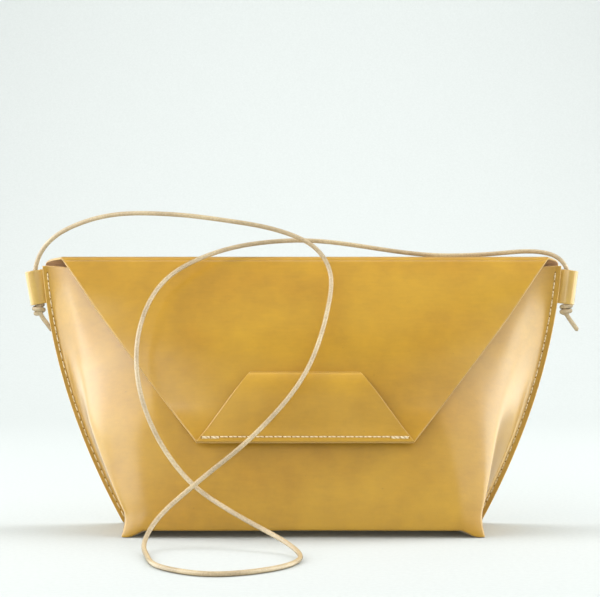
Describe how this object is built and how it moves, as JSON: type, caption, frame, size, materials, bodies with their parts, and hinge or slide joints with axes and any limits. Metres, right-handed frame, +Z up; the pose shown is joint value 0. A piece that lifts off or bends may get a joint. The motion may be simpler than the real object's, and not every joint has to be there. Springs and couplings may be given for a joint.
{
  "type": "shoulder bag",
  "caption": "Trapezoid leather shoulder bag with a boxed front, a fold-over flap closed by a hidden magnetic snap under a folded tab, side loops and a thin knotted leather cord.",
  "frame": {"origin": "on the floor under the middle of the standing bag, with the free cord, its knots and their ends left out of the box", "axes": "+X runs across the bag to the right as seen from the front, -Y is the front with the flap, +Z is up"},
  "size_m": [0.3777, 0.2199, 0.2095],
  "materials": {
    "body_leather": "smooth vegetable-tanned leather with a light sheen",
    "tab_leather": "smooth vegetable-tanned leather with a light sheen",
    "loop_leather": "smooth vegetable-tanned leather",
    "cord_leather": "pale natural leather, matt",
    "thread": "waxed linen thread",
    "snap_metal": "polished",
    "magnet": "plain nickel"
  },
  "bodies": {
    "bag_body": {"front_panel": "body_leather", "back_panel": "body_leather", "top_fold": "body_leather", "left_seam_thread": "thread", "right_seam_thread": "thread", "left_loop": "loop_leather", "right_loop": "loop_leather", "snap_socket": "snap_metal", "snap_magnet": "magnet", "socket_washer": "snap_metal", "shoulder_cord": "cord_leather", "left_knot": "cord_leather", "right_knot": "cord_leather"},
    "flap_body": {"flap": "body_leather", "tab": "tab_leather", "tab_thread": "thread", "snap_cap": "snap_metal", "cap_washer": "snap_metal"}
  },
  "joints": [
    {"name": "flap_hinge", "type": "hinge", "parent": "bag_body", "child": "flap_body", "pos_m": [0, 0.0278, 0.1792], "axis": [-1, 0, 0], "range_deg": [0, 145], "deforming": ["top_fold", "shoulder_cord"]}
  ]
}
